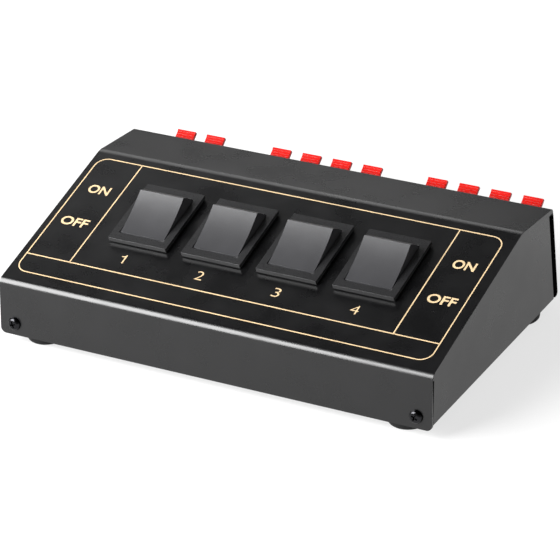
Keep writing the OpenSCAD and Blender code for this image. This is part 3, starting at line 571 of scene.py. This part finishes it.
for side in (-1, 1):
    hole = new("cylinder", "hole", vertices=32, radius=SCREW_HOLE_R, depth=6, rotation=(math.pi / 2, 0, 0))
    hole.data.transform(in_case.inverted() @ on_front @ front_screw_place(side))
    cut(cover, hole)
for i in range(4):
    opening = block("opening", (-CUTOUT_HALF_W, -CUTOUT_HALF_L, -4), (CUTOUT_HALF_W, CUTOUT_HALF_L, 4))
    opening.data.transform(in_case.inverted() @ at_switch(i))
    cut(cover, opening)
round_edges(cover, FOLD_R, 3, side_fold)
pick(cover, "VERT", lambda m, n: True)
bpy.ops.mesh.remove_doubles(threshold=0.01)
close()
cover.data.transform(in_case)
finished(cover, "folded_cover", powder_coat, "case", "powder_coated_cover", "top_cover")

# ---- print on the slope: a thin skin of ink ----

INK = 0.03
LINE = 0.48
NUMBER_V, NUMBER_H = 23.3, 4.6
WORD_H = 4.7
ON_V, OFF_V = 56.25, 36.97


def ink_line(low, high):
    """A straight line between two corners on the slope."""
    return block("line", (low[0], low[1], -0.01), (high[0], high[1], INK))


ring = new("plane", "ring", size=1)
ring.scale = (177.85, 68.03, 1)
ring.location = (-0.875, 40.085, 0)
bpy.ops.object.transform_apply(location=True, rotation=True, scale=True)
pick(ring, "VERT", lambda m, n: True)
bpy.ops.mesh.bevel(offset=5.2, segments=10, affect="VERTICES")
bpy.ops.mesh.select_mode(type="FACE")
bpy.ops.mesh.select_all(action="SELECT")
bpy.ops.mesh.inset(thickness=LINE)
bpy.ops.mesh.delete(type="FACE")
bpy.ops.mesh.select_all(action="SELECT")
extrude(0, 0, INK)
close()
face_out(ring)

# The 1 is drawn as a stem with a curved flag, and laid flat on the slope
number_one = outline("number_one", [(0.42, -2.3), (1.02, -2.3), (1.02, 2.3), (0.6, 2.3), (0.42, 1.85),
                                    (0.05, 1.58), (-0.5, 1.42), (-1.05, 1.38), (-1.05, 0.98),
                                    (0.42, 0.98)], INK)
number_one.data.transform(Matrix(((0, 1, 0, -50.3), (0, 0, 1, NUMBER_V), (1, 0, 0, INK / 2), (0, 0, 0, 1))))

prints = [ring, number_one,
          ink_line((-89.3, 15.6), (87.5, 16.1)),
          ink_line((-70.35, 15.9), (-69.85, 73.8)),
          ink_line((68.75, 15.9), (69.25, 73.8))]


def lettering(words, u, v, width, height, weight):
    """Flat letters fitted to a width and height, centred at a point of the slope."""
    bpy.ops.object.select_all(action="DESELECT")
    bpy.ops.object.text_add()
    letters = bpy.context.object
    letters.data.body = words
    letters.data.offset = weight
    letters.data.resolution_u = 6
    letters.data.extrude = 0.01
    bpy.ops.object.convert(target="MESH")
    letters = bpy.context.object
    points = [p.co for p in letters.data.vertices]
    low = Vector([min(p[k] for p in points) for k in range(3)])
    high = Vector([max(p[k] for p in points) for k in range(3)])
    size = high - low
    letters.data.transform(Matrix.Translation((u, v, INK / 2))
                           @ Matrix.Diagonal((width / size.x, height / size.y, INK / size.z, 1))
                           @ Matrix.Translation(-(low + high) / 2))
    return letters


for words, u, v, width in (("ON", -80.0, ON_V, 9.5), ("OFF", -80.05, OFF_V, 12.1),
                           ("ON", 78.88, ON_V, 9.25), ("OFF", 78.75, OFF_V, 11.7)):
    prints.append(lettering(words, u, v, width, WORD_H, 0.02))
for words, u, width in (("2", -16.3, 3.2), ("3", 16.75, 3.1), ("4", 49.7, 3.4)):
    prints.append(lettering(words, u, NUMBER_V, width, NUMBER_H, -0.012))
panel_print = joined("panel_print", prints)
# The screen sat a little askew on the panel when this one was printed
PRINT_SKEW = -0.0026
askew = Matrix.Identity(4)
askew[1][0] = PRINT_SKEW
panel_print.data.transform(askew)
panel_print.data.transform(on_slope)
finished(panel_print, "panel_print", gold_ink, "case", None)

# ---- rocker switches: each is drawn on the slope, with z up from the paint ----

BEZEL_HALF_W, BEZEL_HALF_L = 12.9, 16
BEZEL_LOW, BEZEL_TOP = 0.6, 2.2
RIM = 2.95
UNDERCUT = 0.45
FLANGE = 1.5
MOUTH_L, MOUTH_DEPTH = 25.2, 2.8
WELL_L, WELL_DEPTH = 26.1, 12.4
BODY_L, BODY_DEPTH = 27.9, 15
LUG_Y = 13.94


def lengthened(now, wanted):
    """Brings what is selected from one length, along the switch, to another."""
    bpy.ops.transform.resize(value=(1, wanted / now, 1), center_override=(0, 0, 0))


# The rim is set in to the rocker's mouth, which opens into the well that the rocker swings in
housing = block("housing", (-BEZEL_HALF_W, -BEZEL_HALF_L, BEZEL_LOW), (BEZEL_HALF_W, BEZEL_HALF_L, BEZEL_TOP))
pick(housing, "FACE", lambda m, n: n.z > 0.9)
bpy.ops.mesh.inset(thickness=RIM)
lengthened(2 * (BEZEL_HALF_L - RIM), MOUTH_L)
extrude(0, 0, -MOUTH_DEPTH)
bpy.ops.mesh.inset(thickness=0.02)
lengthened(MOUTH_L - 0.04, WELL_L)
extrude(0, 0, -WELL_DEPTH)
close()
# Below the rim the bezel is undercut down to the paint, and the body goes on through the cover
pick(housing, "FACE", lambda m, n: n.z < -0.9 and abs(m.z - BEZEL_LOW) < 0.01)
bpy.ops.mesh.inset(thickness=UNDERCUT)
extrude(0, 0, -BEZEL_LOW)
bpy.ops.mesh.inset(thickness=FLANGE)
lengthened(2 * (BEZEL_HALF_L - UNDERCUT - FLANGE), BODY_L)
extrude(0, 0, -BODY_DEPTH)
close()
round_edges(housing, 0.35, 3, lambda m, d: abs(d.z) > 1.5 and abs(m.x) > BEZEL_HALF_W - 0.3 and m.z > 0.5)
round_edges(housing, 1.0, 4,
            lambda m, d: 2 < abs(d.z) < 3 and abs(m.x) < BEZEL_HALF_W - RIM + 0.05 and m.z > 0.5)
round_edges(housing, 0.4, 3, lambda m, d: abs(m.z - BEZEL_TOP) < 0.01)
lugs = []
for side in (-1, 1):
    lug = outline("lug", [(0, -1.1), (0.9, -1.1), (0.9, -1.9), (0, -6)], 8)
    lug.data.transform(Matrix.Translation((0, side * LUG_Y, 0)) @ Matrix.Diagonal((1, side, 1, 1)))
    if side < 0:
        lug.data.flip_normals()
    lugs.append(lug)
housing = joined("housing", [housing] + lugs)

# The rocker is drawn about its axis: a drum cut off above and below, hollow, its face slightly dished
ROCKER_W, ROCKER_R = 19.3, 12.7
FACE_H, SKIRT_H, HOLLOW_H = 8.2, -3.0, 6.5
WALL = 1.6
DISH_R, DISH_DEPTH = 68, 0.69
POLE_X = 4.6
TRUNNION_R, TRUNNION_L = 1.75, 1.35
ACROSS = (0, math.pi / 2, 0)

rocker = new("cylinder", "rocker", vertices=128, radius=ROCKER_R, depth=ROCKER_W, rotation=ACROSS)
for z, clear in ((FACE_H, True), (SKIRT_H, False)):
    pick(rocker, "FACE", lambda m, n: True)
    bpy.ops.mesh.bisect(plane_co=(0, 0, z), plane_no=(0, 0, 1), use_fill=True,
                        clear_outer=clear, clear_inner=not clear)
    close()
pick(rocker, "FACE", lambda m, n: n.z < -0.9 and abs(m.z - SKIRT_H) < 0.01)
bpy.ops.mesh.inset(thickness=WALL)
extrude(0, 0, HOLLOW_H - SKIRT_H)
bpy.ops.transform.resize(value=(1, 0.82, 1), center_override=(0, 0, HOLLOW_H))
close()
face_out(rocker)
dish = new("cylinder", "dish", vertices=1024, radius=DISH_R, depth=30, rotation=ACROSS,
           location=(0, 0, FACE_H + DISH_R - DISH_DEPTH))
cut(rocker, dish)
round_edges(rocker, 0.4, 3, lambda m, d: abs(d.z) < 0.3 and m.z > 7.5 and (abs(m.x) > 9.6 or abs(m.y) > 9.4))
round_edges(rocker, 0.25, 2, lambda m, d: abs(abs(m.x) - ROCKER_W / 2) < 0.01 and m.z < 7)
trims = [rocker]
for x in (-POLE_X, POLE_X):
    boss = turned("boss", [(1.62, 6.6), (1.62, -4.2), (2.6, -4.2), (2.6, 6.6)], 32)
    boss.data.transform(Matrix.Translation((x, 0, 0)))
    trims.append(boss)
for side in (-1, 1):
    pin = new("cylinder", "pin", vertices=32, radius=TRUNNION_R, depth=TRUNNION_L, rotation=ACROSS,
              location=(side * (ROCKER_W / 2 + 0.475), 0, 0))
    round_edges(pin, 0.2, 2, lambda m, d: abs(m.x) > 10.7)
    trims.append(pin)
rocker = joined("rocker", trims)


def coil(name, radius, wire, length, turns):
    """A compression spring standing on the origin; wire is its radius, and radius the spring's outer one."""
    piece = new("circle", name, vertices=8, radius=wire, fill_type="NGON", location=(radius - wire, 0, wire),
                rotation=(math.pi / 2, 0, 0))
    steps = 16 * turns
    modify(piece, "SCREW", angle=math.tau * turns, screw_offset=length - 2 * wire, steps=steps,
           render_steps=steps, axis="Z", use_normal_calculate=True)
    face_out(piece)
    return piece


rocker_spring = coil("coil", 1.4, 0.2, 4.5, 6)
for i in range(4):
    finished(moved(housing, at_switch(i)), f"switch_bezel_{i + 1}", housing_abs, "case",
             "switch_housing_plastic", f"switch_housing_{i + 1}")
    finished(moved(rocker, at_rocker(i)), f"rocker_button_{i + 1}", rocker_abs, f"rocker_body_{i + 1}",
             "rocker_plastic", f"rocker_{i + 1}")
    coils = [moved(rocker_spring, at_rocker(i) @ Matrix.Translation((x, 0, 0.5))) for x in (-POLE_X, POLE_X)]
    finished(joined("coils", coils), f"rocker_coils_{i + 1}", spring_wire, f"rocker_body_{i + 1}",
             "spring_steel", f"rocker_springs_{i + 1}")

# ---- spring-clip levers: each is drawn from its terminal's middle, y out of the panel and z up ----

LEVER_W = 8.3
LEVER_AXIS = (0, -2.6, 8.4)
HUB_R, PIN_R, PINS_L = 1.9, 1.2, 10.08
TAB_SLOPE = math.radians(33)
TAB_TIP = Vector((0, 8.1, 18.5))
RIDGE_R, RIDGE_PITCH = 0.24, 1.1
SPRING_Y, SPRING_LOW, SPRING_L = -6.6, 9.0, 6.4

lever = outline("lever", [(2.2, 8.0), (2.2, 13.238), (8.754, 17.494), (7.991, 18.668), (7.236, 18.178),
                          (7.345, 18.01), (0.2, 13.37), (0.2, 9.6), (-2.6, 9.6), (-3.9, 9.0), (-8.3, 9.0),
                          (-8.3, 7.7), (-3.2, 7.7), (-2.6, 8.0)], LEVER_W)
round_edges(lever, 0.15, 2, lambda m, d: m.y > 0.3)
parts = [lever]
# Grip ridges lie across the tab, one pitch apart from its tip down
for k in range(1, 5):
    reach = 0.9 + RIDGE_PITCH * k
    ridge = new("cylinder", "ridge", vertices=20, radius=RIDGE_R, depth=LEVER_W - 0.4, rotation=ACROSS,
                location=TAB_TIP - reach * Vector((0, math.cos(TAB_SLOPE), math.sin(TAB_SLOPE))))
    round_edges(ridge, 0.12, 2, lambda m, d: abs(m.x) > 3.9)
    parts.append(ridge)
# The hub turns on its pins, and the post behind it keeps the spring in place
for name, radius, length, edge in (("hub", HUB_R, LEVER_W, 0.2), ("pins", PIN_R, PINS_L, 0.15)):
    drum = new("cylinder", name, vertices=40 if name == "hub" else 32, radius=radius, depth=length,
               rotation=ACROSS, location=LEVER_AXIS)
    round_edges(drum, edge, 2, lambda m, d: abs(m.x) > 4)
    parts.append(drum)
post = new("cylinder", "post", vertices=32, radius=0.68, depth=0.8, location=(0, SPRING_Y, SPRING_LOW + 0.2))
round_edges(post, 0.15, 2, lambda m, d: m.z > 9.5)
lever = joined("lever", parts + [post])
lever_spring = coil("coil", 1.8, 0.25, SPRING_L, 5)
for n in range(10):
    for colour, flip, material in (("red", 1, red_lever_abs), ("black", -1, black_lever_abs)):
        place = at_terminal(n) @ Matrix.Diagonal((1, 1, flip, 1))
        finished(moved(lever, place), f"{colour}_clip_{n + 1}", material, f"{colour}_lever_body_{n + 1}",
                 f"{colour}_lever_plastic", f"{colour}_lever_{n + 1}")
        spring = moved(lever_spring, place @ Matrix.Translation((0, SPRING_Y, SPRING_LOW)))
        finished(spring, f"{colour}_clip_coil_{n + 1}", spring_wire, "case", "spring_steel", "lever_springs")
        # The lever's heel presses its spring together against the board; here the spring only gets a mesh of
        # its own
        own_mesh(spring)

# ---- screws, feet and the moulded parts behind ----


def pan_screw(length, pitch=0.45):
    """Pan-head cross-recess screw, its seat at z = 0; the thread is a row of rings, one to each pitch."""
    head = [(0, 1.64), (1.2, 1.6), (1.9, 1.44), (2.35, 1.12), (2.6, 0.65), (2.7, 0.2), (2.6, 0),
            (1.25, 0), (1.1, -0.3)]
    thread = []
    for k in range(int((length - 1.2) / pitch)):
        thread += [(1.25, -0.5 - pitch * k), (1.04, -0.72 - pitch * k)]
    tip = [(1.0, -length + 0.4), (0.6, -length), (0, -length)]
    body = turned("screw", head + thread + tip, 32)
    for turn in (0, math.pi / 2):
        blade = block("blade", (-1.7, -0.4, 0.6), (1.7, 0.4, 2.4))
        pick(blade, "FACE", lambda m, n: n.z < -0.9)
        bpy.ops.transform.resize(value=(0.5, 0.6, 1), center_override=(0, 0, 0.6))
        close()
        blade.data.transform(Matrix.Rotation(turn, 4, "Z"))
        cut(body, blade)
    return body


screw = pan_screw(6)


def driven(place, turn, squat=1.0):
    """A screw at its place, its cross turned as it came to rest; squat makes its head lower."""
    return moved(screw, place @ Matrix.Rotation(math.radians(turn), 4, "Z")
                 @ Matrix.Diagonal((1, 1, squat, 1)))


heads = [driven(on_front @ front_screw_place(side) @ Matrix.Rotation(math.pi / 2, 4, "X"), turn)
         for side, turn in ((-1, 20), (1, 62))]
finished(joined("screws", heads), "front_pan_screws", black_steel, "case", "black_screw", "front_screws")

# The rear feet stand a little wider than the front ones; each has its screw up through the middle
FEET = ((-78, 7.7, 23), (78, 7.7, 61), (-82, 93.02, 12), (82, 93.02, 48))
FOOT_HEAD_H = 1.7
screw_seat = (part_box("foot_screws")[0].z - low_corner.z) / MM + FOOT_HEAD_H
heads = [driven(in_case @ Matrix.Translation((x, y, screw_seat)) @ Matrix.Rotation(math.pi, 4, "X"),
                turn, squat=0.9) for x, y, turn in FEET]
finished(joined("screws", heads), "foot_pan_screws", zinc_plate, "case", "plated_screw", "foot_screws")

foot = turned("foot", [(1.3, 4.9), (8.25, 4.9), (8.22, 4.65), (7.88, 1.2), (7.72, 0.55), (7.35, 0.15),
                       (6.8, 0), (3.6, 0), (3.4, 0.2), (3.4, 2.2), (1.3, 2.2), (1.3, 4.9)], 64)
feet = [moved(foot, in_case @ Matrix.Translation((x, y, -low_corner.z / MM))) for x, y, turn in FEET]
finished(joined("feet", feet), "round_rubber_feet", foot_rubber, "case", "foot_rubber", "rubber_feet")

# These keep the solid's own shape, with its sharp edges rounded
for node, name, material, slot, radius in (
        ("rear_panel", "moulded_rear_panel", rear_abs, "rear_panel_plastic", 0.25),
        ("base_plate", "folded_base", powder_coat, "coated_base", 0.12),
        ("rear_screws", "rear_pan_screws", black_steel, "black_screw", 0.15),
        ("terminal_board_screws", "board_pan_screws", black_steel, "black_screw", 0.15),
        ("input_terminal_board", "input_board", board_abs, "terminal_plastic", 0.2),
        ("output_a_terminal_board", "output_board_a", board_abs, "terminal_plastic", 0.2),
        ("output_b_terminal_board", "output_board_b", board_abs, "terminal_plastic", 0.2)):
    finished(from_solid(node, radius), name, material, "case", slot, node)

# The inner nodes stay as they are and only get their finish, by a word of their name
INNER_FINISHES = (("contacts", brass), ("arms", brass), ("blades", tin_plate), ("plungers", nylon),
                  ("switched_wires", red_pvc), ("feed_wires", white_pvc), ("return_wire", tin_plate))
for node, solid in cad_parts.items():
    for word, finish in INNER_FINISHES:
        if word in node:
            solid.data.materials.clear()
            solid.data.materials.append(finish)

for pattern in (housing, rocker, rocker_spring, lever, lever_spring, screw, foot):
    bpy.data.objects.remove(pattern)
